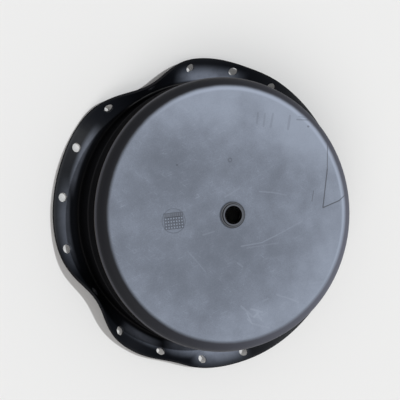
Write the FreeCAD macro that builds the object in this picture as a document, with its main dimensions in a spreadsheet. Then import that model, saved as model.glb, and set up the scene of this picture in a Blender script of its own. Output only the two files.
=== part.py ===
import FreeCAD, Part
import math
import os

import Sketcher

# Moulded rubber diaphragm for a spring and diaphragm actuator.
# One piece: a deep dish with a flat face, a rounded corner, a side wall and a bolting skirt.
# The frame has +Z out of the flat face. The floor that the dish lies on is at z = 0,
# and the origin is on the axis of the centre bore.
# Units are millimetres and degrees.

os.makedirs("parts", exist_ok=True)
Vector = FreeCAD.Vector
doc = FreeCAD.newDocument("actuator_diaphragm")

# Driving dimensions
SIZES = [
    ("face_radius", 148.0, "flat face, out to where the corner begins"),
    ("overall_height", 86.0, "floor to flat face"),
    ("sheet", 3.0, "thickness of the moulded sheet"),
    ("corner_radius", 12.0, "outside of the corner between face and wall"),
    ("bend_radius", 3.0, "inside of the bend between wall and skirt"),
    ("lip_slope", 5.0, "rise of the skirt where it leaves the bend"),
    ("groove_depth", 1.1, "relief groove under the corner"),
    ("groove_width", 9.0, "relief groove, along the wall"),
    ("cuff_rise", 1.0, "raised cuff at its lower edge"),
    ("cuff_width", 20.5, "raised cuff, along the wall"),
    ("bore_radius", 10.5, "centre bore"),
    ("bead_radius", 15.5, "sealing bead round the bore, outside"),
    ("bead_step_radius", 13.0, "upper step of the bead, outside"),
    ("bead_height", 4.0, "bead above the face"),
    ("bead_step_height", 2.2, "lower step of the bead above the face"),
    ("lip_run", 4.0, "end of the bend to the elbow that the free skirt swings about"),
    ("skirt_reach", 26.0, "elbow to free edge"),
    ("edge_margin", 11.0, "bolt hole centre to free edge"),
    ("bolt_hole_radius", 5.5, "bolt holes"),
    ("bolt_count", 20.0, "bolt holes round the skirt"),
    ("first_bolt_bearing", 83.5, "bearing of the first bolt hole on the flat blank"),
    ("gather", 3.9, "swing of the bolt holes away from the bunched side"),
    ("gather_bearing", 352.0, "bearing where the skirt is bunched most"),
    ("rest_tilt", 11.0, "tilt of the skirt where no fold lifts it"),
]

# The waves of the relaxed skirt: bearing of the crest, lift at the crest, half width
FOLDS = [
    (74.0, 26.5, 14.5),
    (118.5, 67.5, 18.5),
    (146.0, -12.0, 10.0),
    (214.0, 59.5, 16.0),
    (254.0, 35.5, 13.0),
    (283.5, 15.5, 17.5),
    (337.5, 18.5, 15.0),
    (25.0, -5.5, 17.5),
]

sheet = doc.addObject("Spreadsheet::Sheet", "sizes")


def add_size(row, alias, value, note):
    sheet.set("A%d" % row, alias)
    sheet.set("B%d" % row, str(value))
    sheet.set("C%d" % row, note)
    sheet.setAlias("B%d" % row, alias)


row = 0
for alias, value, note in SIZES:
    row += 1
    add_size(row, alias, value, note)
for number, (bearing, lift, half_width) in enumerate(FOLDS, 1):
    add_size(row + 1, "fold_%d_bearing" % number, bearing, "bearing of the crest of this wave")
    add_size(row + 2, "fold_%d_lift" % number, lift, "tilt that it adds at its crest")
    add_size(row + 3, "fold_%d_spread" % number, half_width, "half width of the wave")
    row += 3
doc.recompute()


class Measure:
    """A value together with the spreadsheet formula that gives it."""

    def __init__(self, value, formula):
        self.value = value
        self.formula = formula

    def __add__(self, other):
        return Measure(self.value + other.value, "(%s + %s)" % (self.formula, other.formula))

    def __sub__(self, other):
        return Measure(self.value - other.value, "(%s - %s)" % (self.formula, other.formula))

    def __mul__(self, other):
        return Measure(self.value * other.value, "%s * %s" % (self.formula, other.formula))


def size(alias):
    return float(getattr(sheet, alias))


def named(alias):
    return Measure(size(alias), "sizes." + alias)


AXIS_X = Measure(0.0, "0")
FLOOR = Measure(0.0, "0")
HALF = Measure(0.5, "0.5")
THIRD = Measure(1 / 3, "(1 / 3)")
FLAT = Measure(math.tan(math.pi / 8), "tan(22.5 deg)")

lip_slope = math.radians(size("lip_slope"))
lip_sine = Measure(math.sin(lip_slope), "sin(sizes.lip_slope * 1 deg)")
lip_cosine = Measure(math.cos(lip_slope), "cos(sizes.lip_slope * 1 deg)")
lip_half_tangent = Measure(math.tan(lip_slope / 2), "tan(sizes.lip_slope * 0.5 deg)")

face = named("face_radius")
top = named("overall_height")
thick = named("sheet")
corner = named("corner_radius")
bend = named("bend_radius")
wall = face + corner
roof = top - thick
inside = corner - thick
under = bend + thick
corner_foot = top - corner
bend_x = wall + bend

# Dish: face, corner, wall and bend as one turned section
dish = doc.addObject("PartDesign::Body", "dish")

START = 1
END = 2
CENTRE = 3
ACROSS = -1
UPRIGHT = -2
ORIGIN = (ACROSS, START)


def origin_plane(body, role):
    for feature in body.Origin.OriginFeatures:
        if feature.Role == role:
            return feature
    raise ValueError(role)


def new_sketch(name, role="XZ_Plane"):
    sketch = dish.newObject("Sketcher::SketchObject", name)
    sketch.AttachmentSupport = [(origin_plane(dish, role), "")]
    sketch.MapMode = "FlatFace"
    return sketch


def add_line(sketch, start, end):
    corners = [Vector(x.value, z.value, 0) for x, z in (start, end)]
    return sketch.addGeometry(Part.LineSegment(*corners))


def add_arc(sketch, x, z, radius, start, end):
    circle = Part.Circle(Vector(x.value, z.value, 0), Vector(0, 0, 1), radius.value)
    return sketch.addGeometry(Part.ArcOfCircle(circle, start, end))


def bind(sketch, kind, args, name, measure):
    index = sketch.addConstraint(Sketcher.Constraint(kind, *args, measure.value))
    sketch.renameConstraint(index, name)
    sketch.setExpression("Constraints." + name, measure.formula)


def hold(sketch, index, x, z):
    """Hold the start of a line at a point."""
    if x is AXIS_X:
        sketch.addConstraint(Sketcher.Constraint("PointOnObject", index, START, UPRIGHT))
    else:
        bind(sketch, "DistanceX", (*ORIGIN, index, START), "x_%d" % index, x)
    if z is FLOOR:
        sketch.addConstraint(Sketcher.Constraint("PointOnObject", index, START, ACROSS))
    else:
        bind(sketch, "DistanceY", (*ORIGIN, index, START), "z_%d" % index, z)


def join(sketch, first, second):
    sketch.addConstraint(Sketcher.Constraint("Coincident", first, END, second, START))


def turned(kind, name, sketch):
    feature = dish.newObject(kind, name)
    feature.Profile = sketch
    feature.ReferenceAxis = (sketch, ["V_Axis"])
    feature.Angle = 360.0
    return feature


# The corner is a true round. The small bend, and the inside of the cup, have a flat that is
# square to the bisector where each round would be. The part rests on the level ring under the
# bend.
section = new_sketch("dish_section")
FACE = add_line(section, (AXIS_X, top), (face, top))
CORNER = add_arc(section, face, corner_foot, corner, 0, math.pi / 2)
below = [
    (wall, corner_foot),
    (wall, under - bend * FLAT),
    (bend_x - bend * FLAT, thick),
    (bend_x + bend * lip_half_tangent, thick),
    (bend_x + bend * lip_sine, under - bend * lip_cosine),
    (bend_x + under * lip_sine, under - under * lip_cosine),
    (bend_x + under * lip_half_tangent, FLOOR),
    (bend_x - under * FLAT, FLOOR),
    (wall - thick, under - under * FLAT),
    (wall - thick, corner_foot + inside * FLAT),
    (face + inside * FLAT, roof),
    (AXIS_X, roof),
    (AXIS_X, top),
]
edges = [add_line(section, start, end) for start, end in zip(below, below[1:])]
for edge, following, start in zip(edges, edges[1:] + [FACE], below):
    join(section, edge, following)
    hold(section, edge, *start)
hold(section, FACE, AXIS_X, top)
section.addConstraint(Sketcher.Constraint("Tangent", FACE, END, CORNER, END))
section.addConstraint(Sketcher.Constraint("Coincident", CORNER, START, edges[0], START))
bind(section, "DistanceX", (*ORIGIN, CORNER, CENTRE), "face", face)
bind(section, "DistanceY", (*ORIGIN, CORNER, CENTRE), "corner_foot", corner_foot)
turned("PartDesign::Revolution", "dish_turned", section)


def outline(name, points):
    """A closed outline of straight edges whose corners are all held."""
    sketch = new_sketch(name)
    edges = [add_line(sketch, start, end) for start, end in zip(points, points[1:] + points[:1])]
    for edge, following, start in zip(edges, edges[1:] + edges[:1], points):
        join(sketch, edge, following)
        hold(sketch, edge, *start)
    return sketch


# Relief groove under the corner, where the wall necks in
groove_depth = named("groove_depth")
groove_width = named("groove_width")
cuff_rise = named("cuff_rise")
groove_floor = wall - groove_depth
groove_run = groove_width * THIRD
cuff_top = corner_foot - groove_width
groove = outline(
    "groove_section",
    [
        (wall + cuff_rise, corner_foot),
        (wall, corner_foot),
        (groove_floor, corner_foot - groove_run),
        (groove_floor, cuff_top + groove_run),
        (wall, cuff_top),
        (wall + cuff_rise, cuff_top),
    ],
)
turned("PartDesign::Groove", "groove_turned", groove)

# Cuff below the groove: it thickens downwards and ends in a crisp step
cuff_foot = cuff_top - named("cuff_width")
buried = wall - thick * HALF
cuff = outline(
    "cuff_section",
    [
        (buried, cuff_top),
        (wall, cuff_top),
        (wall + cuff_rise, cuff_foot),
        (buried, cuff_foot),
    ],
)
turned("PartDesign::Revolution", "cuff_turned", cuff)

# Stepped sealing bead round the bore
bore_radius = named("bore_radius")
bead_root = roof + thick * HALF
bead_crest = top + named("bead_height")
bead_step = top + named("bead_step_height")
bead_radius = named("bead_radius")
bead_step_radius = named("bead_step_radius")
bead_inside = bore_radius * HALF
bead = outline(
    "bead_section",
    [
        (bead_inside, bead_root),
        (bead_radius, bead_root),
        (bead_radius, bead_step),
        (bead_step_radius, bead_step),
        (bead_step_radius, bead_crest),
        (bead_inside, bead_crest),
    ],
)
turned("PartDesign::Revolution", "bead_turned", bead)
doc.recompute()
before_bore = dish.Shape.Volume

# Centre bore, through bead and face
bore = new_sketch("bore_circle", "XY_Plane")
bore.addGeometry(Part.Circle(Vector(0, 0, 0), Vector(0, 0, 1), bore_radius.value))
bore.addConstraint(Sketcher.Constraint("Coincident", 0, CENTRE, *ORIGIN))
bind(bore, "Radius", (0,), "bore", bore_radius)
bore_cut = dish.newObject("PartDesign::Pocket", "bore_cut")
bore_cut.Profile = bore
bore_cut.Type = "ThroughAll"
bore_cut.Midplane = True
doc.recompute()
bore_area = math.pi * bore_radius.value**2
ring_area = bore_area - math.pi * bead_inside.value**2
bore_volume = bore_area * size("sheet") + ring_area * size("bead_height")
if abs(before_bore - dish.Shape.Volume - bore_volume) > 0.01 * bore_volume:
    raise ValueError("the bore doesn't go through the face")

# Skirt: the free flange that waves round the dish. Each radial section leaves the bend at the
# lip slope, turns at an elbow and runs out straight to the free edge, as one smooth parabola.
LOOK = 1e-4
STATIONS = 48
SHARES = [0.0, 0.5, 1.0]
half_sheet = size("sheet") / 2
lip_middle = size("bend_radius") + half_sheet
lip = (
    bend_x.value + lip_middle * math.sin(lip_slope),
    under.value - lip_middle * math.cos(lip_slope),
)
elbow = (
    lip[0] + size("lip_run") * math.cos(lip_slope),
    lip[1] + size("lip_run") * math.sin(lip_slope),
)


def tilt(bearing):
    """Tilt of the skirt's free edge above the floor, in radians, at a bearing in radians."""
    total = size("rest_tilt")
    for number in range(1, len(FOLDS) + 1):
        name = "fold_%d_" % number
        gap = math.degrees(bearing) - size(name + "bearing")
        gap = (gap + 180.0) % 360.0 - 180.0
        total += size(name + "lift") * math.exp(-((gap / size(name + "spread")) ** 2))
    return math.radians(total)


def middle(bearing, share):
    """A point of the skirt's middle surface: share 0 is the lip of the bend, 1 the free edge."""
    slope = tilt(bearing)
    edge = (
        elbow[0] + size("skirt_reach") * math.cos(slope),
        elbow[1] + size("skirt_reach") * math.sin(slope),
    )
    weights = ((1.0 - share) ** 2, 2 * share * (1.0 - share), share**2)
    radius, height = (
        sum(weight * point[side] for weight, point in zip(weights, (lip, elbow, edge)))
        for side in (0, 1)
    )
    return Vector(radius * math.cos(bearing), radius * math.sin(bearing), height)


def upward(bearing, share):
    """The skirt's normal, on the side of the flat face."""
    along = middle(bearing, share + LOOK) - middle(bearing, share - LOOK)
    around = middle(bearing + LOOK, share) - middle(bearing - LOOK, share)
    return along.cross(around).normalize()


def ring(share, offset):
    """A closed curve round the skirt, offset from its middle surface."""
    turns = [2 * math.pi * k / STATIONS for k in range(STATIONS + 1)]
    points = [middle(a, share) + upward(a, share) * offset for a in turns[:-1]]
    curve = Part.BSplineCurve()
    curve.interpolate(Points=points, PeriodicFlag=True, Parameters=turns)
    return Part.Wire([curve.toShape()])


def skin(rings, ruled, side):
    """A face through rings, turned so that its normal is on the given side."""
    surface = Part.makeLoft(rings, False, ruled).Faces[0]
    u0, u1, v0, v1 = surface.ParameterRange
    u = u0 + (u1 - u0) / 3
    v = (v0 + v1) / 2
    if surface.normalAt(u, v).dot(side(surface.valueAt(u, v))) < 0:
        surface.reverse()
    return surface


def outwards(point):
    return Vector(point.x, point.y, 0)


def inwards(point):
    return Vector(-point.x, -point.y, 0)


def up(point):
    return Vector(0, 0, 1)


def down(point):
    return Vector(0, 0, -1)


upper = [ring(share, half_sheet) for share in SHARES]
lower = [ring(share, -half_sheet) for share in SHARES]
shell = Part.makeShell(
    [
        skin(upper, False, up),
        skin(lower, False, down),
        skin([upper[-1], lower[-1]], True, outwards),
        skin([upper[0], lower[0]], True, inwards),
    ]
)
shell.sewShape()
skirt = doc.addObject("Part::Feature", "skirt")
skirt.Shape = Part.makeSolid(shell)

# The skirt and the dish were moulded as one, so they are joined along the lip of the bend
JOIN_TOLERANCE = 0.01
moulding = doc.addObject("Part::Feature", "moulding")
joined = dish.Shape.fuse([skirt.Shape], JOIN_TOLERANCE)
if len(joined.Solids) != 1:
    raise ValueError("the skirt isn't joined to the dish")
moulding.Shape = joined.Solids[0]


# Bolt holes, punched square to the skirt at a constant margin from its free edge
def share_at_margin(bearing):
    """Where on a section the skirt is edge_margin from its free edge."""
    edge = middle(bearing, 1.0)
    near, far = 0.0, 1.0
    for step in range(40):
        share = (near + far) / 2
        if middle(bearing, share).distanceToPoint(edge) > size("edge_margin"):
            near = share
        else:
            far = share
    return near


def bolt_bearing(number):
    """Even spacing on the flat blank, drawn together where the relaxed skirt is bunched."""
    even = math.radians(size("first_bolt_bearing")) + 2 * math.pi * number / size("bolt_count")
    bunched = math.radians(size("gather_bearing"))
    return even - math.radians(size("gather")) * math.sin(even - bunched)


punches = []
for number in range(int(size("bolt_count"))):
    bearing = bolt_bearing(number)
    share = share_at_margin(bearing)
    axis = upward(bearing, share)
    punch = doc.addObject("Part::Cylinder", "punch_%d" % (number + 1))
    punch.setExpression("Radius", "sizes.bolt_hole_radius")
    punch.setExpression("Height", "4 * sizes.sheet")
    turn = FreeCAD.Rotation(Vector(0, 0, 1), axis)
    foot = middle(bearing, share) - axis * 2 * size("sheet")
    punch.Placement = FreeCAD.Placement(foot, turn)
    punches.append(punch)
bolt_holes = doc.addObject("Part::Compound", "bolt_holes")
bolt_holes.Links = punches
diaphragm = doc.addObject("Part::Cut", "diaphragm")
diaphragm.Label = "diaphragm"
diaphragm.Base = moulding
diaphragm.Tool = bolt_holes
doc.recompute()

for item in doc.Objects:
    if "Invalid" in item.State or "Error" in item.State:
        raise ValueError("%s failed: %s" % (item.Label, item.State))
shape = diaphragm.Shape
if shape.isNull() or not shape.isValid() or len(shape.Solids) != 1:
    raise ValueError("the diaphragm isn't one valid solid")
shape.exportStep("parts/%s.step" % diaphragm.Label)
print("volume %.0f, box %s" % (shape.Volume, shape.BoundBox))
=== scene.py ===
import math

import bmesh
import bpy
import numpy as np
from mathutils import Matrix, Vector


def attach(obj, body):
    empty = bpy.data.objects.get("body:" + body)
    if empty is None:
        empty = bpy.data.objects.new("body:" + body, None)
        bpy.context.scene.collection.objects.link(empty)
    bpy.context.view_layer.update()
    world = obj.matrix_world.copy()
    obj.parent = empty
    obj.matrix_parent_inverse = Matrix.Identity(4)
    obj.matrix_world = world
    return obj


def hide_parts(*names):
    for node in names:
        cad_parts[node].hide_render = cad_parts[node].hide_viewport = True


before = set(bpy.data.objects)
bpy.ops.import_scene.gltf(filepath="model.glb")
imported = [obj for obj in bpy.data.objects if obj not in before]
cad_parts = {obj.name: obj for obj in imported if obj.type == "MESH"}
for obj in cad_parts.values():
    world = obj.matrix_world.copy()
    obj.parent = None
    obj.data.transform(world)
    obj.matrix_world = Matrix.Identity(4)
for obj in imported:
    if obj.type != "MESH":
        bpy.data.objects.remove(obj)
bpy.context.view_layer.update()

# Camera: it looks down on the dish from the left of its axis, as the photograph does. Lens,
# distance and the two angles were fitted to the round face and the bolt holes.
MM = 0.001
FRAME_PX = 400
SENSOR_MM = 36.0
FACE_RADIUS = 148 * MM
TOP = 86 * MM
VIEW_TILT = math.radians(20.71)
VIEW_ROLL = math.radians(-1.44)
VIEW_DISTANCE = 7.0 * FACE_RADIUS
FOCAL_PX = 895.3
FACE_CENTRE_PX = (232.2, 214.9)


def link(name, data):
    made = bpy.data.objects.new(name, data)
    bpy.context.scene.collection.objects.link(made)
    return made


# The object's axes as the camera sees them: right, down and away.
face_normal = Vector((
    math.sin(VIEW_TILT) * math.cos(VIEW_ROLL),
    -math.sin(VIEW_TILT) * math.sin(VIEW_ROLL),
    -math.cos(VIEW_TILT),
))
face_right = Vector((1, 0, 0))
face_right = (face_right - face_normal * face_right.dot(face_normal)).normalized()
face_up = face_normal.cross(face_right)
to_object = Matrix((face_right, face_up, face_normal))
half_frame = FRAME_PX / 2


def sight(px, py):
    """Direction of the sight line through a pixel of the 400 by 400 photograph."""
    return to_object @ Vector(((px - half_frame) / FOCAL_PX, (py - half_frame) / FOCAL_PX, 1))


eye = Vector((0, 0, TOP)) - sight(*FACE_CENTRE_PX) * VIEW_DISTANCE


def on_face(px, py):
    """The point of the flat face that a pixel of the photograph shows."""
    ray = sight(px, py)
    return eye + ray * ((TOP - eye.z) / ray.z)


camera_data = bpy.data.cameras.new("camera")
camera_data.sensor_width = SENSOR_MM
camera_data.lens = FOCAL_PX / FRAME_PX * SENSOR_MM
camera = link("camera", camera_data)
facing = to_object @ Matrix.Diagonal((1, -1, -1))
camera.matrix_world = Matrix.Translation(eye) @ facing.to_4x4()
bpy.context.scene.camera = camera

# Diaphragm: one moulding of black rubber about 3 mm thick. A deep dish with a flat face, a
# rounded corner over a relief groove, a thickening cuff and a wall, turned out at the foot
# into a thin skirt that has relaxed into waves.
SHEET = 3 * MM
CORNER_RADIUS = 12 * MM
BEND_RADIUS = 3 * MM
LIP_SLOPE = math.radians(5)
LIP_RUN = 4 * MM
SKIRT_REACH = 26 * MM
REST_TILT_DEGREES = 11
# Each fold of the skirt: its bearing, its lift and its spread, all in degrees.
FOLDS = [
    (74.0, 26.5, 14.5),
    (118.5, 67.5, 18.5),
    (146.0, -12.0, 10.0),
    (214.0, 59.5, 16.0),
    (254.0, 35.5, 13.0),
    (283.5, 15.5, 17.5),
    (337.5, 18.5, 15.0),
    (25.0, -5.5, 17.5),
]
SEAM_RIDGE = 0.7 * MM
SEAM_INSET = 0.2 * MM
SEAM_SPAN_DEGREES = 75
CORNER_END_DEGREES = 4
GROOVE_DEPTH = 1.1 * MM
GROOVE_WIDTH = 9 * MM
CUFF_RISE = 1 * MM
CUFF_WIDTH = 20.5 * MM
BORE_RADIUS = 10.5 * MM
BEAD_STEP_RADIUS = 13 * MM
BEAD_RADIUS = 15.5 * MM
BEAD_STEP = 2.2 * MM
BEAD_HEIGHT = 4 * MM
EDGE_ROUND = 0.5 * MM
# How finely the moulding is divided: stations round it, then steps along its section.
STATIONS = 432
SKIRT_STEPS = 16
FACE_STEPS = 18
CORNER_STEPS = 14
INNER_STEPS = 10
WALL_STEPS = 8
GROOVE_STEPS = 12
RIDGE_STEPS = 6
ROUND_STEPS = 3

wall = FACE_RADIUS + CORNER_RADIUS
corner_foot = TOP - CORNER_RADIUS
bend_x = wall + BEND_RADIUS
under = BEND_RADIUS + SHEET
half_sheet = SHEET / 2
lip_middle = BEND_RADIUS + half_sheet
# The skirt's middle surface starts at the lip of the bend and leaves it toward the elbow.
lip = (bend_x + lip_middle * math.sin(LIP_SLOPE), under - lip_middle * math.cos(LIP_SLOPE))
elbow = (lip[0] + LIP_RUN * math.cos(LIP_SLOPE), lip[1] + LIP_RUN * math.sin(LIP_SLOPE))
around = np.linspace(0, 2 * math.pi, STATIONS, endpoint=False)


def tilt(bearing):
    """Tilt of the free edge above the floor, for an array of bearings in radians."""
    total = np.full_like(bearing, REST_TILT_DEGREES)
    for crest, lift, spread in FOLDS:
        gap = (np.degrees(bearing) - crest + 180) % 360 - 180
        total += lift * np.exp(-((gap / spread) ** 2))
    return np.radians(total)


def middle(bearing, share):
    """Points of the skirt's middle surface: share 0 is the lip of the bend, 1 the free edge."""
    slope = tilt(bearing)
    edge = (elbow[0] + SKIRT_REACH * np.cos(slope), elbow[1] + SKIRT_REACH * np.sin(slope))
    weights = ((1 - share) ** 2, 2 * share * (1 - share), share**2)
    radius, height = (
        weights[0] * lip[side] + weights[1] * elbow[side] + weights[2] * edge[side]
        for side in (0, 1)
    )
    return np.stack([radius * np.cos(bearing), radius * np.sin(bearing), height], -1)


def upward(bearing, share):
    """The skirt's normals, on the side of the flat face."""
    look = 1e-4
    along = middle(bearing, share + look) - middle(bearing, share - look)
    across = middle(bearing + look, share) - middle(bearing - look, share)
    normal = np.cross(along, across)
    return normal / np.linalg.norm(normal, axis=-1, keepdims=True)


def skirt_ring(share, offset):
    return middle(around, share) + upward(around, share) * offset


def turned_ring(radius, height):
    flat = [radius * np.cos(around), radius * np.sin(around), np.full_like(around, height)]
    return np.stack(flat, -1)


def arc(x, z, radius, start, end, steps):
    """Points of an arc between two directions in degrees, with both ends."""
    angles = np.radians(np.linspace(start, end, steps + 1))
    return [(x + radius * math.cos(a), z + radius * math.sin(a)) for a in angles]


def run(start, end, steps):
    """Points of a straight stretch, without its ends."""
    (x0, z0), (x1, z1) = start, end
    return [(x0 + (x1 - x0) * k / steps, z0 + (z1 - z0) * k / steps) for k in range(1, steps)]


# The section of the moulding as radius and height: over the outside, then back inside.
nip = EDGE_ROUND
bead_top = TOP + BEAD_HEIGHT
bead_step = TOP + BEAD_STEP
bead = [
    *arc(BORE_RADIUS + nip, bead_top - nip, nip, 180, 90, ROUND_STEPS),
    *arc(BEAD_STEP_RADIUS - nip, bead_top - nip, nip, 90, 0, ROUND_STEPS),
    *arc(BEAD_STEP_RADIUS + nip, bead_step + nip, nip, 180, 270, ROUND_STEPS),
    *arc(BEAD_RADIUS - nip, bead_step - nip, nip, 90, 0, ROUND_STEPS),
    *arc(BEAD_RADIUS + nip, TOP + nip, nip, 180, 270, ROUND_STEPS),
]
face = run((BEAD_RADIUS + nip, TOP), (FACE_RADIUS, TOP), FACE_STEPS)
corner = arc(FACE_RADIUS, corner_foot, CORNER_RADIUS, 90, CORNER_END_DEGREES, CORNER_STEPS)
seam_side = wall - SEAM_INSET
seam_start = SEAM_SPAN_DEGREES
seam = arc(seam_side, corner_foot, SEAM_RIDGE, seam_start, -seam_start, RIDGE_STEPS)
groove = []
for step in range(1, GROOVE_STEPS):
    along = step / GROOVE_STEPS
    depth = GROOVE_DEPTH * (1 - math.cos(2 * math.pi * along)) / 2
    groove.append((wall - depth, corner_foot - nip - (GROOVE_WIDTH - nip) * along))
cuff_top = corner_foot - GROOVE_WIDTH
cuff_foot = cuff_top - CUFF_WIDTH
cuff_edge = wall + CUFF_RISE
cuff = [
    (wall, cuff_top),
    *run((wall, cuff_top), (cuff_edge, cuff_foot + nip), RIDGE_STEPS),
    *arc(cuff_edge - nip, cuff_foot + nip, nip, 0, -90, ROUND_STEPS),
    (wall, cuff_foot),
]
lip_angle = 270 + math.degrees(LIP_SLOPE)
outer_wall = run((wall, cuff_foot), (wall, under), WALL_STEPS)
outer_bend = arc(bend_x, under, BEND_RADIUS, 180, lip_angle, WALL_STEPS)
inner_bend = arc(bend_x, under, under, lip_angle, 180, INNER_STEPS)
inner_wall = run((wall - SHEET, under), (wall - SHEET, corner_foot), WALL_STEPS)
inner_corner = arc(FACE_RADIUS, corner_foot, CORNER_RADIUS - SHEET, 0, 90, INNER_STEPS)
roof = run((FACE_RADIUS, TOP - SHEET), (BORE_RADIUS + nip, TOP - SHEET), INNER_STEPS)
bore_foot = arc(BORE_RADIUS + nip, TOP - SHEET + nip, nip, 270, 180, ROUND_STEPS)

outside = bead + face + corner + seam + groove + cuff + outer_wall + outer_bend
inside = inner_bend + inner_wall + inner_corner + roof + bore_foot
edge_share = EDGE_ROUND / (2 * SKIRT_REACH)
flat_shares = [k / SKIRT_STEPS * (1 - edge_share) for k in range(1, SKIRT_STEPS + 1)]
rounded = [math.radians(90 * k / ROUND_STEPS) for k in range(1, ROUND_STEPS + 1)]
edge_rounds = [(1 - edge_share * (1 - math.sin(a)), nip * (1 - math.cos(a))) for a in rounded]

rings = [turned_ring(*point) for point in outside]
rings += [skirt_ring(share, half_sheet) for share in flat_shares]
edge_start = len(rings)
rings += [skirt_ring(share, half_sheet - drop) for share, drop in edge_rounds]
rings += [skirt_ring(1.0, 0.0)]
rings += [skirt_ring(share, drop - half_sheet) for share, drop in reversed(edge_rounds)]
edge_end = len(rings)
rings += [skirt_ring(share, -half_sheet) for share in reversed(flat_shares)]
rings += [turned_ring(*point) for point in inside]

quads = []
for ring in range(len(rings)):
    here = ring * STATIONS
    there = (ring + 1) % len(rings) * STATIONS
    for station in range(STATIONS):
        beside = (station + 1) % STATIONS
        quads.append((here + station, there + station, there + beside, here + beside))
blank_mesh = bpy.data.meshes.new("moulded_blank")
blank_mesh.from_pydata(np.concatenate(rings).tolist(), [], quads)
# The attribute cut_edge marks the rings of the skirt's free edge for the finish below.
cut_edge = np.zeros(len(rings) * STATIONS)
cut_edge[edge_start * STATIONS:edge_end * STATIONS] = 1.0
blank_mesh.attributes.new("cut_edge", "FLOAT", "POINT").data.foreach_set("value", cut_edge)
blank_bmesh = bmesh.new()
blank_bmesh.from_mesh(blank_mesh)
bmesh.ops.recalc_face_normals(blank_bmesh, faces=blank_bmesh.faces)
blank_bmesh.to_mesh(blank_mesh)
blank_bmesh.free()
blank = link("moulded_blank", blank_mesh)

# The rubber's finish: black and half matt, with a bluish grey bloom on the face, partly a painted
# sheen toward the rim, and a painted sheen with a thin haze of bloom on the corner and on
# stretches of the skirt. The mould seam under the corner is rubbed paler and has a painted glint,
# the cuff's foot has a painted highlight, the bead's steps have painted shade, and the bead round
# the bore and the cut edge of the skirt are darker.
rubber = bpy.data.materials.new("moulded_rubber")
rubber.use_nodes = True
nodes = rubber.node_tree.nodes
wires = rubber.node_tree.links
rubber_shader = nodes["Principled BSDF"]


def feed(socket, value):
    """Connect a node's output to a socket, or write a plain value on it."""
    if isinstance(value, bpy.types.NodeSocket):
        wires.new(value, socket)
    else:
        socket.default_value = value


def maths(operation, *values):
    node = nodes.new("ShaderNodeMath")
    node.operation = operation
    for socket, value in zip(node.inputs, values):
        feed(socket, value)
    return node.outputs[0]


def plus(first, *others):
    for other in others:
        first = maths("ADD", first, other)
    return first


def times(first, *others):
    for other in others:
        first = maths("MULTIPLY", first, other)
    return first


def strongest(first, *others):
    for other in others:
        first = maths("MAXIMUM", first, other)
    return first


def vectors(operation, *values):
    node = nodes.new("ShaderNodeVectorMath")
    node.operation = operation
    for socket, value in zip(node.inputs, values):
        feed(socket, value)
    return node.outputs["Value" if operation in ("LENGTH", "DOT_PRODUCT") else "Vector"]


def fade(value, start, end, low=0.0, high=1.0):
    """A soft step from low to high as the value goes from start to end."""
    node = nodes.new("ShaderNodeMapRange")
    node.interpolation_type = "SMOOTHSTEP"
    for socket, given in zip(node.inputs, (value, start, end, low, high)):
        feed(socket, given)
    return node.outputs[0]


def blend(factor, first, second):
    """Mix two colours, which have the sockets 6 and 7 on a mix node and leave it by output 2."""
    node = nodes.new("ShaderNodeMix")
    node.data_type = "RGBA"
    feed(node.inputs[0], factor)
    feed(node.inputs[6], first)
    feed(node.inputs[7], second)
    return node.outputs[2]


def clouds(place, scale, detail, roughness=0.5):
    node = nodes.new("ShaderNodeTexNoise")
    feed(node.inputs["Vector"], place)
    feed(node.inputs["Scale"], scale)
    feed(node.inputs["Detail"], detail)
    feed(node.inputs["Roughness"], roughness)
    return node.outputs[0]


def swing(noise, amount):
    """A noise centred on zero, as strong as the amount."""
    return times(maths("SUBTRACT", noise, 0.5), amount)


def band(value, centre, half_width, softness):
    """1 within half_width of the centre, fading to 0 over the softness."""
    gap = maths("ABSOLUTE", maths("SUBTRACT", value, centre))
    return fade(gap, half_width, half_width + softness, 1.0, 0.0)


def distance(start, end):
    return vectors("LENGTH", vectors("SUBTRACT", start, end))


# What the finish follows: height, distance from the axis, direction, and three noises.
place = nodes.new("ShaderNodeTexCoord").outputs["Object"]
split = nodes.new("ShaderNodeSeparateXYZ")
feed(split.inputs[0], place)
height = split.outputs["Z"]
level = vectors("MULTIPLY", place, (1, 1, 0))
radius = vectors("LENGTH", level)
level_direction = vectors("NORMALIZE", level)
LARGE_SCALE = 14
MEDIUM_SCALE = 55
SPECKLE_SCALE = 900
large = clouds(place, LARGE_SCALE, 3)
medium = clouds(place, MEDIUM_SCALE, 4, 0.6)
speckle = clouds(place, SPECKLE_SCALE, 2)

# The bloom covers the outer side of the flat face and the bead, and has a ragged rim.
BLOOM_CENTRE = (0.5 * MM, 0.8 * MM, 0)
BLOOM_FULL = FACE_RADIUS - 2.4 * MM
BLOOM_END = FACE_RADIUS + 2.8 * MM
BLOOM_RAGGEDNESS = 1.5 * MM
ragged = plus(distance(level, BLOOM_CENTRE), swing(medium, BLOOM_RAGGEDNESS))
on_disc = fade(ragged, BLOOM_FULL, BLOOM_END, 1.0, 0.0)
outer_side = fade(height, TOP - 1.6 * MM, TOP - 0.6 * MM)
off_bore = fade(radius, BORE_RADIUS + 0.1 * MM, BORE_RADIUS + 0.4 * MM)
bloom = times(on_disc, outer_side, off_bore)


def stroke(start_px, end_px, half_width, softness):
    """A rubbed line on the face between two points of the photograph."""
    start, end = on_face(*start_px), on_face(*end_px)
    way = end - start
    offset = vectors("SUBTRACT", place, start)
    share = maths("DIVIDE", vectors("DOT_PRODUCT", offset, way), way.length_squared)
    held = nodes.new("ShaderNodeClamp")
    feed(held.inputs[0], share)
    scale = nodes.new("ShaderNodeVectorMath")
    scale.operation = "SCALE"
    feed(scale.inputs[0], tuple(way))
    feed(scale.inputs["Scale"], held.outputs[0])
    gap = vectors("LENGTH", vectors("SUBTRACT", offset, scale.outputs[0]))
    return fade(gap, half_width, half_width + softness, 1.0, 0.0)


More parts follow.
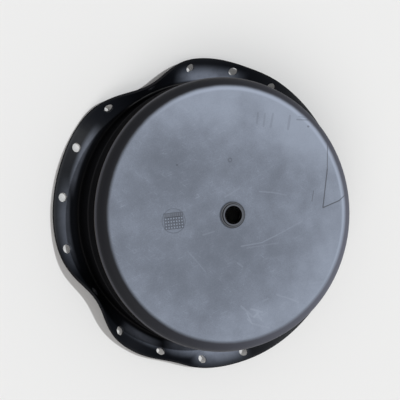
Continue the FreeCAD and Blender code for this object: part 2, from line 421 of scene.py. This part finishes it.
def strokes(rows, softness):
    """The strongest of several strokes, each given with its own strength."""
    return strongest(*[
        times(stroke(start_px, end_px, half_width, softness), strength)
        for start_px, end_px, half_width, strength in rows
    ])


# Each stroke: its two ends in pixels of the photograph, half its width, and its strength.
PALE_SCUFFS = [
    ((241.2, 246.3), (262, 242.5), 0.3 * MM, 0.5),
    ((262, 242.5), (277, 235), 0.3 * MM, 0.55),
    ((277, 235), (302.4, 221), 0.2 * MM, 0.4),
    ((247, 248), (278, 243), 0.3 * MM, 0.3),
    ((259.5, 191.5), (273, 192.5), 0.3 * MM, 0.5),
    ((273, 192.5), (286, 195), 0.2 * MM, 0.4),
    ((225, 197), (240, 188), 0.4 * MM, 0.35),
    ((203, 235), (214, 231.5), 0.4 * MM, 0.35),
    ((187.7, 251.4), (196.6, 261.6), 0.3 * MM, 0.3),
    ((192.8, 256.5), (205.5, 271.8), 0.2 * MM, 0.35),
    ((237.4, 262.9), (242.5, 266.7), 0.5 * MM, 0.4),
    ((241.2, 306.3), (251.4, 315.2), 0.6 * MM, 0.55),
    ((247.6, 319), (252.7, 324.1), 0.4 * MM, 0.8),
    ((247, 313), (251, 322), 0.4 * MM, 0.9),
    ((251.4, 316.5), (261.6, 317.8), 0.4 * MM, 0.6),
    ((256.5, 312.7), (261.6, 320.3), 0.5 * MM, 0.7),
    ((251, 309), (262, 312), 0.6 * MM, 0.8),
    ((254, 317), (258, 313), 0.6 * MM, 1.0),
    ((254, 324), (269.3, 328), 0.4 * MM, 0.55),
    ((262.9, 301.2), (268, 298.6), 0.5 * MM, 0.4),
    ((277, 294.8), (289.7, 298.6), 0.4 * MM, 0.5),
    ((289.7, 298.6), (298.6, 302.4), 0.5 * MM, 0.6),
    ((310, 283.3), (321.6, 282), 0.6 * MM, 0.35),
]
DARK_STROKES = [
    ((327.5, 144), (327.3, 169), 0.2 * MM, 0.8),
    ((327.3, 169), (323, 207), 0.35 * MM, 0.9),
    ((323, 207.6), (339.3, 200.5), 0.3 * MM, 0.9),
    ((339.3, 200.5), (346, 194), 0.3 * MM, 0.8),
    ((313.5, 191), (312, 201), 0.3 * MM, 0.5),
    ((258, 113), (257, 123), 0.9 * MM, 0.2),
    ((265, 114), (263.5, 126), 0.9 * MM, 0.2),
    ((273, 114), (270.5, 127), 0.9 * MM, 0.2),
    ((290, 116), (288, 129), 1.1 * MM, 0.25),
    ((297, 119.5), (308, 120), 0.5 * MM, 0.4),
    ((299, 116.5), (305, 117.5), 0.4 * MM, 0.3),
    ((308, 126.4), (308.6, 126.4), 0.8 * MM, 0.6),
    ((176.8, 165), (177.3, 165), 0.4 * MM, 0.7),
]
# Each kind of hairline: its bearing in degrees, and the noise level above which it shows.
HAIRLINES = [(22, 0.58), (-38, 0.6), (75, 0.62)]
HAIRLINES_ALONG = 70
HAIRLINES_ACROSS = 700
HAIRLINE_SOFTNESS = 0.12
# Each patchiness: two noise levels, then the strength below the first and above the second.
HAIRLINE_PATCHES = (0.45, 0.65, 0.12, 0.5)
RUBBED_PATCHES = (0.3, 0.6, 0.5, 1.0)
HAZE_AND_SHEEN_PATCHES = (0.2, 0.7, 0.6, 1.0)
PALE_SOFTNESS = 1.0 * MM
DARK_SOFTNESS = 0.7 * MM


def hairlines(bearing, threshold):
    """Fine short scratches that all run along one bearing."""
    bearing = math.radians(bearing)
    run_way = (math.cos(bearing), math.sin(bearing), 0)
    cross_way = (-math.sin(bearing), math.cos(bearing), 0)
    stretched = nodes.new("ShaderNodeCombineXYZ")
    along = times(vectors("DOT_PRODUCT", place, run_way), HAIRLINES_ALONG)
    across = times(vectors("DOT_PRODUCT", place, cross_way), HAIRLINES_ACROSS)
    feed(stretched.inputs["X"], along)
    feed(stretched.inputs["Y"], across)
    scratches = clouds(stretched.outputs[0], 1, 2)
    return fade(scratches, threshold, threshold + HAIRLINE_SOFTNESS)


scratched = plus(*[hairlines(*kind) for kind in HAIRLINES])
scratched = times(scratched, fade(medium, *HAIRLINE_PATCHES))
pale = strongest(strokes(PALE_SCUFFS, PALE_SOFTNESS), scratched)
dark = strokes(DARK_STROKES, DARK_SOFTNESS)

# Colours: bare rubber; a dim black for worn marks, painted shade and a painted highlight; a
# painted sheen with a thin haze; and the bloom from thin to thick.
BLACK = (0.0026, 0.0027, 0.0034, 1)
WEAR_SHADE_AND_HIGHLIGHT_BLACK = (0.016, 0.016, 0.018, 1)
CUT = (0.016, 0.016, 0.018, 1)
SEAM = (0.096, 0.091, 0.088, 1)
DARK_HAZE = (0.075, 0.083, 0.100, 1)
CORNER_HAZE_AND_SHEEN = (0.125, 0.130, 0.163, 1)
SKIRT_BLACK = (0.0078, 0.0090, 0.0122, 1)
SKIRT_HAZE_AND_SHEEN = (0.335, 0.375, 0.470, 1)
BLOOM_THIN = (0.112, 0.131, 0.171, 1)
BLOOM_THICK = (0.270, 0.310, 0.392, 1)
BLOOM_RIM = (0.350, 0.400, 0.510, 1)
SCUFF = (0.30, 0.34, 0.42, 1)


def toward(way, start, end, high):
    """Grows across the face along a direction, between two distances from the axis in mm."""
    return fade(vectors("DOT_PRODUCT", place, (*way, 0)), start * MM, end * MM, 0.0, high)


# Where the bloom thickens toward the rim, partly a painted sheen: a direction, two distances
# in mm, and an amount.
BLOOM_AND_SHEEN_SLOPES = [
    ((0, 1), 60, 130, 0.6),
    ((1.0, 0.1), 30, 125, 0.46),
    ((0.2, -0.98), 100, 135, 0.30),
]
# Clouds in the bloom: a centre in pixels of the photograph, core and reach in mm, an amount.
BLOOM_CLOUDS = [
    ((310, 140), 12, 55, 0.25),
    ((160, 140), 5, 62, -0.26),
    ((205, 118), 5, 40, -0.16),
    ((252, 112), 5, 32, -0.20),
    ((232, 183), 5, 72, 0.24),
    ((324, 188), 5, 40, -0.16),
    ((118, 253), 5, 30, -0.22),
    ((268, 310), 5, 48, 0.17),
    ((292, 275), 5, 40, 0.16),
]
RIM_GAIN = 0.14
LARGE_SWING = 1.0
MEDIUM_SWING = 0.55
SPECKLE_SWING = 0.5
THINNEST = -0.45
THICKEST = 1.15
spread = times(maths("POWER", maths("DIVIDE", radius, FACE_RADIUS), 3), RIM_GAIN)
for slope in BLOOM_AND_SHEEN_SLOPES:
    spread = plus(spread, toward(*slope))
for centre_px, core, reach, amount in BLOOM_CLOUDS:
    from_cloud = distance(place, on_face(*centre_px))
    spread = plus(spread, fade(from_cloud, core * MM, reach * MM, amount, 0.0))
spread = plus(spread, swing(large, LARGE_SWING), swing(medium, MEDIUM_SWING))
spread = plus(spread, swing(speckle, SPECKLE_SWING))
bloom_colour = blend(fade(spread, THINNEST, THICKEST), BLOOM_THIN, BLOOM_THICK)

# The bloom is thickest in a line along its rim, toward the upper right.
RIM_SLOPE = ((0.70, 0.72), -20, 110, 0.7)
SCUFF_STRENGTH = 0.55
DARK_STRENGTH = 0.75
LINE_HALF_WIDTH = 0.2 * MM
LINE_SOFTNESS = 0.5 * MM
BEAD_SHADE = 0.9
rim_zone = times(band(radius, FACE_RADIUS - 1 * MM, 1.2 * MM, 2.5 * MM), toward(*RIM_SLOPE))
bloom_colour = blend(rim_zone, bloom_colour, BLOOM_RIM)
bloom_colour = blend(times(pale, SCUFF_STRENGTH), bloom_colour, SCUFF)
bloom_colour = blend(times(dark, DARK_STRENGTH), bloom_colour, WEAR_SHADE_AND_HIGHLIGHT_BLACK)
on_bead = fade(radius, BEAD_RADIUS - 0.9 * MM, BEAD_RADIUS - 0.1 * MM, BEAD_SHADE, 0.0)
bloom_colour = blend(on_bead, bloom_colour, DARK_HAZE)
# Painted shade: dark lines along the bead's two steps.
painted_step_shade = strongest(
    band(radius, BEAD_RADIUS - 0.6 * MM, LINE_HALF_WIDTH, LINE_SOFTNESS),
    band(radius, BEAD_STEP_RADIUS, LINE_HALF_WIDTH, LINE_SOFTNESS),
)
bloom_colour = blend(painted_step_shade, bloom_colour, WEAR_SHADE_AND_HIGHLIGHT_BLACK)

# The dated grid and its ring, whose sizes serve for the moulded marks below too.
GRID_CENTRE_PX = (173.8, 220.9)
GRID_WIDTH = 22.5 * MM
GRID_HEIGHT = 13.6 * MM
HEADER_HEIGHT = 4.6 * MM
GRID_TURN = math.radians(5.5)
RING_RADIUS = 13.8 * MM
GRID_SHADE = 0.33
HEADER_SHADE = 0.42
RIB_SHADE = 0.6
DOT_SHINE = 0.8
RING_SHADE = 0.25
grid_across = (math.cos(GRID_TURN), math.sin(GRID_TURN), 0)
grid_up = (-math.sin(GRID_TURN), math.cos(GRID_TURN), 0)
from_grid = vectors("SUBTRACT", place, on_face(*GRID_CENTRE_PX))
grid_x = vectors("DOT_PRODUCT", from_grid, grid_across)
grid_y = vectors("DOT_PRODUCT", from_grid, grid_up)
grid_top = (GRID_HEIGHT + HEADER_HEIGHT) / 2
across_grid = band(grid_x, 0, GRID_WIDTH / 2, LINE_SOFTNESS)
on_grid = times(across_grid, band(grid_y, 0, grid_top, LINE_SOFTNESS))
header_foot = grid_top - HEADER_HEIGHT
grid_ground = fade(grid_y, header_foot - 0.3 * MM, header_foot, GRID_SHADE, HEADER_SHADE)
bloom_colour = blend(times(on_grid, grid_ground), bloom_colour, DARK_HAZE)
on_rib = times(on_grid, fade(height, TOP + 0.05 * MM, TOP + 0.2 * MM))
bloom_colour = blend(times(on_rib, RIB_SHADE), bloom_colour, DARK_HAZE)
on_dot = times(on_grid, fade(height, TOP + 0.33 * MM, TOP + 0.36 * MM))
bloom_colour = blend(times(on_dot, DOT_SHINE), bloom_colour, BLOOM_THICK)
on_ring = band(vectors("LENGTH", from_grid), RING_RADIUS, 0.3 * MM, LINE_SOFTNESS)
bloom_colour = blend(times(on_ring, RING_SHADE), bloom_colour, DARK_HAZE)

# The ejector mark: a shaded ring and a shaded spot in its middle.
EJECTOR_PX = (230, 160)
EJECTOR_RADIUS = 2.2 * MM
EJECTOR_CORE = 1.2 * MM
EJECTOR_CORE_SHADE = 0.7
EJECTOR_SHADE = 0.35
from_ejector = distance(place, on_face(*EJECTOR_PX))
on_ejector = band(from_ejector, EJECTOR_RADIUS, 0.4 * MM, LINE_SOFTNESS)
ejector_core = fade(from_ejector, 0, EJECTOR_CORE, EJECTOR_CORE_SHADE, 0.0)
on_ejector = strongest(on_ejector, ejector_core)
bloom_colour = blend(times(on_ejector, EJECTOR_SHADE), bloom_colour, DARK_HAZE)

# Painted sheen with a thin haze on the corner, strongest where it faces right, a little all
# round, and a painted glow just above the seam.
SHEEN_WAY = (0.95, -0.31, 0)
CUFF_HIGHLIGHT = 0.8
FOOT_GLOW = 0.48
SHEEN_POWER = 2.5
SHEEN_GAIN = 0.92
HAZE_LEAST = 0.07
past_face = fade(radius, FACE_RADIUS - 2 * MM, FACE_RADIUS + 1 * MM)
corner_zone = times(past_face, fade(height, corner_foot - 1 * MM, corner_foot))
# Painted highlight: a lighter band along the cuff's foot.
cuff_glow = band(height, cuff_foot, 2 * MM, 5 * MM)
skin_colour = blend(times(cuff_glow, CUFF_HIGHLIGHT), BLACK, WEAR_SHADE_AND_HIGHLIGHT_BLACK)
# Painted glow: the corner lighter just above the seam, fading upward.
foot_glow = fade(height, corner_foot + 1 * MM, corner_foot + 7.5 * MM, FOOT_GLOW, 0.0)
facing_sheen_way = maths("DIVIDE", plus(vectors("DOT_PRODUCT", level_direction, SHEEN_WAY), 1.0), 2.0)
corner_sheen = plus(times(maths("POWER", facing_sheen_way, SHEEN_POWER), SHEEN_GAIN), HAZE_LEAST)
corner_sheen = times(corner_zone, strongest(corner_sheen, foot_glow))
skin_colour = blend(corner_sheen, skin_colour, CORNER_HAZE_AND_SHEEN)
# The seam ridge is rubbed paler and carries a painted glint along it.
seam_zone = band(height, corner_foot, 0.45 * MM, 0.3 * MM)
seam_zone = times(seam_zone, fade(radius, wall - 0.3 * MM, wall + 0.1 * MM))
rubbed = fade(medium, *RUBBED_PATCHES)
skin_colour = blend(times(seam_zone, rubbed), skin_colour, SEAM)

# Where a painted sheen with a thin haze of bloom lies on the skirt: bearing and half width in
# degrees, two distances from the wall in mm, and a strength.
HAZE_AND_SHEEN_STRETCHES = [
    (89, 17, 7, 25, 0.8),
    (158, 17, 11, 20, 0.38),
    (184, 20, 15, 32, 0.26),
    (240, 11, 9, 20, 0.38),
    (262, 13, 6, 21, 0.8),
    (275, 14, 8, 32, 0.95),
]
HAZE_AND_SHEEN_RISE = 4 * MM
HAZE_AND_SHEEN_LEVEL = 2 * MM


def haze_and_sheen_stretch(bearing, half_width, near, far, strength):
    """Painted sheen with a thin haze of bloom on the skirt round a bearing, between two distances
    from the wall.
    """
    centre = (math.cos(math.radians(bearing)), math.sin(math.radians(bearing)), 0)
    turned = vectors("DOT_PRODUCT", level_direction, centre)
    aside = fade(turned, math.cos(math.radians(half_width)), 1.0, 0.0, strength)
    near_radius = wall + near * MM
    inner = fade(radius, near_radius - HAZE_AND_SHEEN_RISE, near_radius)
    outer = fade(radius, near_radius + HAZE_AND_SHEEN_LEVEL, wall + far * MM, 1.0, 0.0)
    return times(inner, outer, aside)


edge_mark = nodes.new("ShaderNodeAttribute")
edge_mark.attribute_name = "cut_edge"
on_cut = edge_mark.outputs["Fac"]
skirt_haze_and_sheen = strongest(*[haze_and_sheen_stretch(*stretch) for stretch in HAZE_AND_SHEEN_STRETCHES])
off_floor = fade(height, 0.5 * MM, 2.5 * MM)
skirt_haze_and_sheen = times(skirt_haze_and_sheen, off_floor, fade(medium, *HAZE_AND_SHEEN_PATCHES))
past_bend = fade(radius, wall + 2 * MM, wall + 8 * MM)
skin_colour = blend(past_bend, skin_colour, SKIRT_BLACK)
# Painted sheen with a thin haze of bloom on stretches of the skirt.
skin_colour = blend(skirt_haze_and_sheen, skin_colour, SKIRT_HAZE_AND_SHEEN)
skin_colour = blend(times(on_cut, rubbed), skin_colour, CUT)
feed(rubber_shader.inputs["Base Color"], blend(bloom, skin_colour, bloom_colour))

# Gloss: the wall is matt, the corner and the skirt are smoother, and the bloom has a wide,
# dull sheen. A mirror value is a share of the shader's usual reflection.
WALL_ROUGHNESS = 0.85
CORNER_ROUGHNESS = 0.55
SKIRT_SMOOTHING = -0.11
ROUGHNESS_SWING = 0.10
BLOOM_ROUGHENING = 0.12
BLOOM_MIRROR = 0.35
SHINY_MIRROR = 0.10
LEAST_MIRROR = 0.03
skirt_zone = fade(radius, wall + 0.5 * MM, wall + 3 * MM)
upper = fade(height, corner_foot - 1 * MM, corner_foot + 1 * MM)
shiny = strongest(skirt_zone, upper)
roughness = plus(
    fade(shiny, 0.0, 1.0, WALL_ROUGHNESS, CORNER_ROUGHNESS),
    times(skirt_zone, SKIRT_SMOOTHING),
    swing(medium, ROUGHNESS_SWING),
    times(bloom, BLOOM_ROUGHENING),
)
feed(rubber_shader.inputs["Roughness"], roughness)
mirror = plus(times(bloom, BLOOM_MIRROR), times(shiny, SHINY_MIRROR), LEAST_MIRROR)
mirror = times(mirror, maths("SUBTRACT", 1.0, on_cut))
feed(rubber_shader.inputs["Specular IOR Level"], mirror)


def relief(below, strength, depth, height_map):
    """Bumps of a depth in metres, laid over the bumps below them."""
    node = nodes.new("ShaderNodeBump")
    feed(node.inputs["Strength"], strength)
    feed(node.inputs["Distance"], depth)
    feed(node.inputs["Height"], height_map)
    if below:
        feed(node.inputs["Normal"], below.outputs[0])
    return node


# Relief: a fine grain all over, wrinkles that run out across the skirt, and creases along the
# dark strokes.
GRAIN_DEPTH = 0.15 * MM
GRAIN_STRENGTH = 0.35
GRAIN_COARSENESS = 2.5
WRINKLE_DEPTH = 0.8 * MM
WRINKLE_STRENGTH = 0.3
WRINKLE_SCALE = 12
WRINKLE_PULL = (2.5, 2.5, 0)
CREASE_DEPTH = 0.3 * MM
CREASE_STRENGTH = 0.6
grain_map = plus(speckle, times(medium, GRAIN_COARSENESS))
wrinkle_place = vectors("ADD", vectors("MULTIPLY", level_direction, WRINKLE_PULL), place)
wrinkle_map = clouds(wrinkle_place, WRINKLE_SCALE, 2, 0.45)
grain = relief(None, GRAIN_STRENGTH, GRAIN_DEPTH, grain_map)
wrinkles = relief(grain, times(skirt_zone, WRINKLE_STRENGTH), WRINKLE_DEPTH, wrinkle_map)
creases = relief(wrinkles, times(bloom, CREASE_STRENGTH), CREASE_DEPTH, dark)
creases.invert = True
feed(rubber_shader.inputs["Normal"], creases.outputs[0])

# Bolt holes: twenty holes punched square to the skirt, at a constant margin from its free
# edge. The relaxed skirt draws them together on the side where it is bunched.
BOLT_COUNT = 20
FIRST_BOLT = math.radians(83.5)
GATHER = math.radians(3.9)
GATHER_BEARING = math.radians(352)
EDGE_MARGIN = 11 * MM
BOLT_HOLE_RADIUS = 5.5 * MM
PUNCH_LENGTH = 4 * SHEET
PUNCH_SIDES = 40
HALVINGS = 40
SHARP_ANGLE = math.radians(50)


def share_at_margin(bearing):
    """Where on each section the skirt is EDGE_MARGIN from its free edge."""
    edge = middle(bearing, 1.0)
    near = np.zeros_like(bearing)
    far = np.ones_like(bearing)
    for step in range(HALVINGS):
        share = (near + far) / 2
        too_far = np.linalg.norm(middle(bearing, share) - edge, axis=-1) > EDGE_MARGIN
        near = np.where(too_far, share, near)
        far = np.where(too_far, far, share)
    return near


def geometry_tree(name, inputs):
    """An empty geometry tree with its named inputs and one output."""
    tree = bpy.data.node_groups.new(name, "GeometryNodeTree")
    tree.interface.new_socket("Geometry", in_out="INPUT", socket_type="NodeSocketGeometry")
    for label, kind in inputs:
        tree.interface.new_socket(label, in_out="INPUT", socket_type="NodeSocket" + kind)
    tree.interface.new_socket("Geometry", in_out="OUTPUT", socket_type="NodeSocketGeometry")
    return tree, tree.nodes.new("NodeGroupInput"), tree.nodes.new("NodeGroupOutput")


def grow(tree, kind, inputs, **settings):
    """A geometry node with its settings, fed by outputs of other nodes or by plain values."""
    node = tree.nodes.new("GeometryNode" + kind)
    for name, value in settings.items():
        setattr(node, name, value)
    for name, value in inputs.items():
        if isinstance(value, bpy.types.NodeSocket):
            tree.links.new(value, node.inputs[name])
        else:
            node.inputs[name].default_value = value
    return node


def close_tree(tree, geometry, given, result):
    """Every tree ends alike: its instances are made real and the rubber is set on them."""
    real = grow(tree, "RealizeInstances", {"Geometry": geometry})
    finished = grow(
        tree,
        "SetMaterial",
        {"Geometry": real.outputs["Geometry"], "Material": given.outputs["Rubber"]},
    )
    tree.links.new(finished.outputs["Geometry"], result.inputs["Geometry"])


def grown_mesh(carrier, tree, values, name):
    """Run a tree on an object and keep the result as a plain mesh."""
    modifier = carrier.modifiers.new("grown", "NODES")
    modifier.node_group = tree
    for item in tree.interface.items_tree:
        if item.item_type == "SOCKET" and item.in_out == "INPUT" and item.name in values:
            modifier[item.identifier] = values[item.name]
    graph = bpy.context.evaluated_depsgraph_get()
    mesh = bpy.data.meshes.new_from_object(carrier.evaluated_get(graph), depsgraph=graph)
    mesh.name = name
    carrier.modifiers.remove(modifier)
    return mesh


even = FIRST_BOLT + 2 * math.pi * np.arange(BOLT_COUNT) / BOLT_COUNT
bolt_bearings = even - GATHER * np.sin(even - GATHER_BEARING)
bolt_shares = share_at_margin(bolt_bearings)
marks_mesh = bpy.data.meshes.new("bolt_marks")
marks_mesh.from_pydata(middle(bolt_bearings, bolt_shares).tolist(), [], [])
square = upward(bolt_bearings, bolt_shares)
square_attribute = marks_mesh.attributes.new("square", "FLOAT_VECTOR", "POINT")
square_attribute.data.foreach_set("vector", square.ravel())
bolt_marks = link("bolt_marks", marks_mesh)

punching, given, result = geometry_tree(
    "bolt_hole_punching",
    [
        ("Bolt Marks", "Object"),
        ("Hole Radius", "Float"),
        ("Punch Length", "Float"),
        ("Punch Sides", "Int"),
        ("Rubber", "Material"),
    ],
)
marks = grow(punching, "ObjectInfo", {"Object": given.outputs["Bolt Marks"]})
punch = grow(
    punching,
    "MeshCylinder",
    {
        "Vertices": given.outputs["Punch Sides"],
        "Radius": given.outputs["Hole Radius"],
        "Depth": given.outputs["Punch Length"],
    },
)
mark_axis = grow(punching, "InputNamedAttribute", {"Name": "square"}, data_type="FLOAT_VECTOR")
aim = punching.nodes.new("FunctionNodeAlignRotationToVector")
aim.axis = "Z"
punching.links.new(mark_axis.outputs["Attribute"], aim.inputs["Vector"])
punches = grow(
    punching,
    "InstanceOnPoints",
    {
        "Points": marks.outputs["Geometry"],
        "Instance": punch.outputs["Mesh"],
        "Rotation": aim.outputs[0],
    },
)
punched = grow(
    punching,
    "MeshBoolean",
    {"Mesh 1": given.outputs["Geometry"], "Mesh 2": punches.outputs["Instances"]},
    operation="DIFFERENCE",
    solver="MANIFOLD",
)
close_tree(punching, punched.outputs["Mesh"], given, result)

skin_mesh = grown_mesh(
    blank,
    punching,
    {
        "Bolt Marks": bolt_marks,
        "Hole Radius": BOLT_HOLE_RADIUS,
        "Punch Length": PUNCH_LENGTH,
        "Punch Sides": PUNCH_SIDES,
        "Rubber": rubber,
    },
    "diaphragm_skin",
)
for helper in (blank, bolt_marks):
    bpy.data.objects.remove(helper)
skin_mesh.materials.clear()
skin_mesh.materials.append(rubber)
skin_mesh.shade_smooth()
skin_mesh.set_sharp_from_angle(angle=SHARP_ANGLE)
skin = link("diaphragm_skin", skin_mesh)
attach(skin, "root")
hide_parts("diaphragm")

# Moulded marks on the face: a ring with a dated grid such as toolmakers engrave, and a small
# ejector ring, in the same rubber. Their ribs stand a third of a millimetre proud of the face,
# and the dots in the grid's cells about twice that.
GRID_COLUMNS = 7
GRID_ROWS = 4
HEADER_COLUMNS = 9
RIB_RADIUS = 0.33 * MM
DOT_RADIUS = 1.15 * MM
DOT_HEIGHT_SHARE = 0.55
RIB_SIDES = 8
RING_SIDES = 72
EJECTOR_SIDES = 32

engraving, given, result = geometry_tree(
    "dated_grid",
    [
        ("Width", "Float"),
        ("Height", "Float"),
        ("Columns", "Int"),
        ("Rows", "Int"),
        ("Header Height", "Float"),
        ("Header Columns", "Int"),
        ("Ring Radius", "Float"),
        ("Rib Radius", "Float"),
        ("Dot Radius", "Float"),
        ("Place", "Vector"),
        ("Turn", "Vector"),
        ("Rubber", "Material"),
    ],
)


def counted(tree, output):
    """One more than a count: the lines that bound so many cells."""
    node = tree.nodes.new("ShaderNodeMath")
    tree.links.new(output, node.inputs[0])
    node.inputs[1].default_value = 1
    return node.outputs[0]


rib = grow(
    engraving,
    "CurvePrimitiveCircle",
    {"Resolution": RIB_SIDES, "Radius": given.outputs["Rib Radius"]},
)


def ribbed(curve):
    return grow(
        engraving,
        "CurveToMesh",
        {"Curve": curve, "Profile Curve": rib.outputs["Curve"], "Fill Caps": True},
    ).outputs["Mesh"]


cells = grow(
    engraving,
    "MeshGrid",
    {
        "Size X": given.outputs["Width"],
        "Size Y": given.outputs["Height"],
        "Vertices X": counted(engraving, given.outputs["Columns"]),
        "Vertices Y": counted(engraving, given.outputs["Rows"]),
    },
)
cell_lines = grow(engraving, "MeshToCurve", {"Mesh": cells.outputs["Mesh"]})
header = grow(
    engraving,
    "MeshGrid",
    {
        "Size X": given.outputs["Width"],
        "Size Y": given.outputs["Header Height"],
        "Vertices X": counted(engraving, given.outputs["Header Columns"]),
        "Vertices Y": 2,
    },
)
header_lines = grow(engraving, "MeshToCurve", {"Mesh": header.outputs["Mesh"]})


def half_shift(output, share):
    """A shift along the grid's height by a share of one of its measures."""
    node = engraving.nodes.new("ShaderNodeMath")
    node.operation = "MULTIPLY"
    engraving.links.new(output, node.inputs[0])
    node.inputs[1].default_value = share
    shift = engraving.nodes.new("ShaderNodeCombineXYZ")
    engraving.links.new(node.outputs[0], shift.inputs["Y"])
    return shift.outputs[0]


raised_header = grow(
    engraving,
    "Transform",
    {
        "Geometry": ribbed(header_lines.outputs["Curve"]),
        "Translation": half_shift(given.outputs["Height"], 0.5),
    },
)
ring_curve = grow(
    engraving,
    "CurvePrimitiveCircle",
    {"Resolution": RING_SIDES, "Radius": given.outputs["Ring Radius"]},
)
cell_points = grow(engraving, "MeshToPoints", {"Mesh": cells.outputs["Mesh"]}, mode="FACES")
dot = grow(engraving, "MeshIcoSphere", {"Radius": given.outputs["Dot Radius"], "Subdivisions": 2})
dots = grow(
    engraving,
    "InstanceOnPoints",
    {
        "Points": cell_points.outputs["Points"],
        "Instance": dot.outputs["Mesh"],
        "Scale": (1, 1, DOT_HEIGHT_SHARE),
    },
)


def join(parts):
    node = engraving.nodes.new("GeometryNodeJoinGeometry")
    for piece in parts:
        engraving.links.new(piece, node.inputs[0])
    return node.outputs[0]


body = join((ribbed(cell_lines.outputs["Curve"]), dots.outputs["Instances"]))
lowered_body = grow(
    engraving,
    "Transform",
    {"Geometry": body, "Translation": half_shift(given.outputs["Header Height"], -0.5)},
)
joined = join((
    lowered_body.outputs["Geometry"],
    raised_header.outputs["Geometry"],
    ribbed(ring_curve.outputs["Curve"]),
))
placed = grow(
    engraving,
    "Transform",
    {
        "Geometry": joined,
        "Translation": given.outputs["Place"],
        "Rotation": given.outputs["Turn"],
    },
)
close_tree(engraving, placed.outputs["Geometry"], given, result)

carrier = link("engraving_carrier", bpy.data.meshes.new("engraving_carrier"))
grid_mesh = grown_mesh(
    carrier,
    engraving,
    {
        "Width": GRID_WIDTH,
        "Height": GRID_HEIGHT,
        "Columns": GRID_COLUMNS,
        "Rows": GRID_ROWS,
        "Header Height": HEADER_HEIGHT,
        "Header Columns": HEADER_COLUMNS,
        "Ring Radius": RING_RADIUS,
        "Rib Radius": RIB_RADIUS,
        "Dot Radius": DOT_RADIUS,
        "Place": on_face(*GRID_CENTRE_PX),
        "Turn": (0, 0, GRID_TURN),
        "Rubber": rubber,
    },
    "dated_grid",
)
bpy.data.objects.remove(carrier)
grid_mesh.shade_smooth()
dated_grid = link("dated_grid", grid_mesh)
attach(dated_grid, "root")

bpy.ops.mesh.primitive_torus_add(
    major_radius=EJECTOR_RADIUS,
    minor_radius=RIB_RADIUS,
    major_segments=EJECTOR_SIDES,
    minor_segments=RIB_SIDES,
    location=on_face(*EJECTOR_PX),
)
ejector_ring = bpy.context.object
ejector_ring.name = "ejector_ring"
ejector_ring.data.transform(ejector_ring.matrix_world)
ejector_ring.matrix_world = Matrix.Identity(4)
ejector_ring.data.materials.append(rubber)
ejector_ring.data.shade_smooth()
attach(ejector_ring, "root")

# Floor and light: a pale matt floor under the dish, a small key light from the upper right, a
# wide soft fill from the lower left, and an even light from all round.
FLOOR_HALF = 20.0
FLOOR_COLOUR = (0.84, 0.84, 0.84, 1)
FLOOR_ROUGHNESS = 0.9
FLOOR_MIRROR = 0.1
floor_mesh = bpy.data.meshes.new("floor")
floor_mesh.from_pydata(
    [(x * FLOOR_HALF, y * FLOOR_HALF, 0) for x, y in ((-1, -1), (1, -1), (1, 1), (-1, 1))],
    [],
    [(0, 1, 2, 3)],
)
floor = link("floor", floor_mesh)
floor_finish = bpy.data.materials.new("pale_floor")
floor_finish.use_nodes = True
floor_shader = floor_finish.node_tree.nodes["Principled BSDF"]
floor_shader.inputs["Base Color"].default_value = FLOOR_COLOUR
floor_shader.inputs["Roughness"].default_value = FLOOR_ROUGHNESS
floor_shader.inputs["Specular IOR Level"].default_value = FLOOR_MIRROR
floor_mesh.materials.append(floor_finish)

# Each light: degrees off the dish's axis, bearing round it, strength, width in degrees, colour.
SUNS = {
    "key": (15.9, 27, 1.535, 1.0, (0.97, 0.99, 1.0)),
    "fill": (45, 235, 0.78, 40, (1.0, 0.97, 0.94)),
}


def sun(name, off_axis, bearing, strength, angle, colour):
    """A distant light from a direction off the dish's axis, at a bearing round it."""
    data = bpy.data.lights.new(name, "SUN")
    data.energy = strength
    data.angle = math.radians(angle)
    data.color = colour
    lamp = link(name, data)
    off_axis, bearing = math.radians(off_axis), math.radians(bearing)
    source = Vector((
        math.sin(off_axis) * math.cos(bearing),
        math.sin(off_axis) * math.sin(bearing),
        math.cos(off_axis),
    ))
    lamp.rotation_mode = "QUATERNION"
    lamp.rotation_quaternion = source.to_track_quat("Z", "Y")


for sun_name, settings in SUNS.items():
    sun(sun_name, *settings)

# The world lights the dish evenly. Where the camera, a reflection or a clear surface looks at
# it near the horizon, it is the pale backdrop instead.
WORLD_COLOUR = (1.0, 0.99, 0.98, 1)
WORLD_STRENGTH = 0.39
BACKDROP_COLOUR = (1, 1, 1, 1)
BACKDROP_STRENGTH = 0.84
BACKDROP_TOP = (0.12, 0.3)
world = bpy.data.worlds.new("studio")
world.use_nodes = True
bpy.context.scene.world = world
# From here the shader helpers above build in the world's tree.
nodes = world.node_tree.nodes
wires = world.node_tree.links
lighting = nodes["Background"]
feed(lighting.inputs["Color"], WORLD_COLOUR)
feed(lighting.inputs["Strength"], WORLD_STRENGTH)
backdrop = nodes.new("ShaderNodeBackground")
feed(backdrop.inputs["Color"], BACKDROP_COLOUR)
feed(backdrop.inputs["Strength"], BACKDROP_STRENGTH)
light_path = nodes.new("ShaderNodeLightPath")
looks = strongest(
    light_path.outputs["Is Camera Ray"],
    light_path.outputs["Is Glossy Ray"],
    light_path.outputs["Is Transmission Ray"],
)
compass = nodes.new("ShaderNodeSeparateXYZ")
feed(compass.inputs[0], nodes.new("ShaderNodeTexCoord").outputs["Generated"])
near_horizon = fade(compass.outputs["Z"], *BACKDROP_TOP, 1.0, 0.0)
choice = nodes.new("ShaderNodeMixShader")
feed(choice.inputs[0], times(looks, near_horizon))
feed(choice.inputs[1], lighting.outputs[0])
feed(choice.inputs[2], backdrop.outputs[0])
feed(nodes["World Output"].inputs["Surface"], choice.outputs[0])
bpy.context.scene.view_settings.view_transform = "Standard"
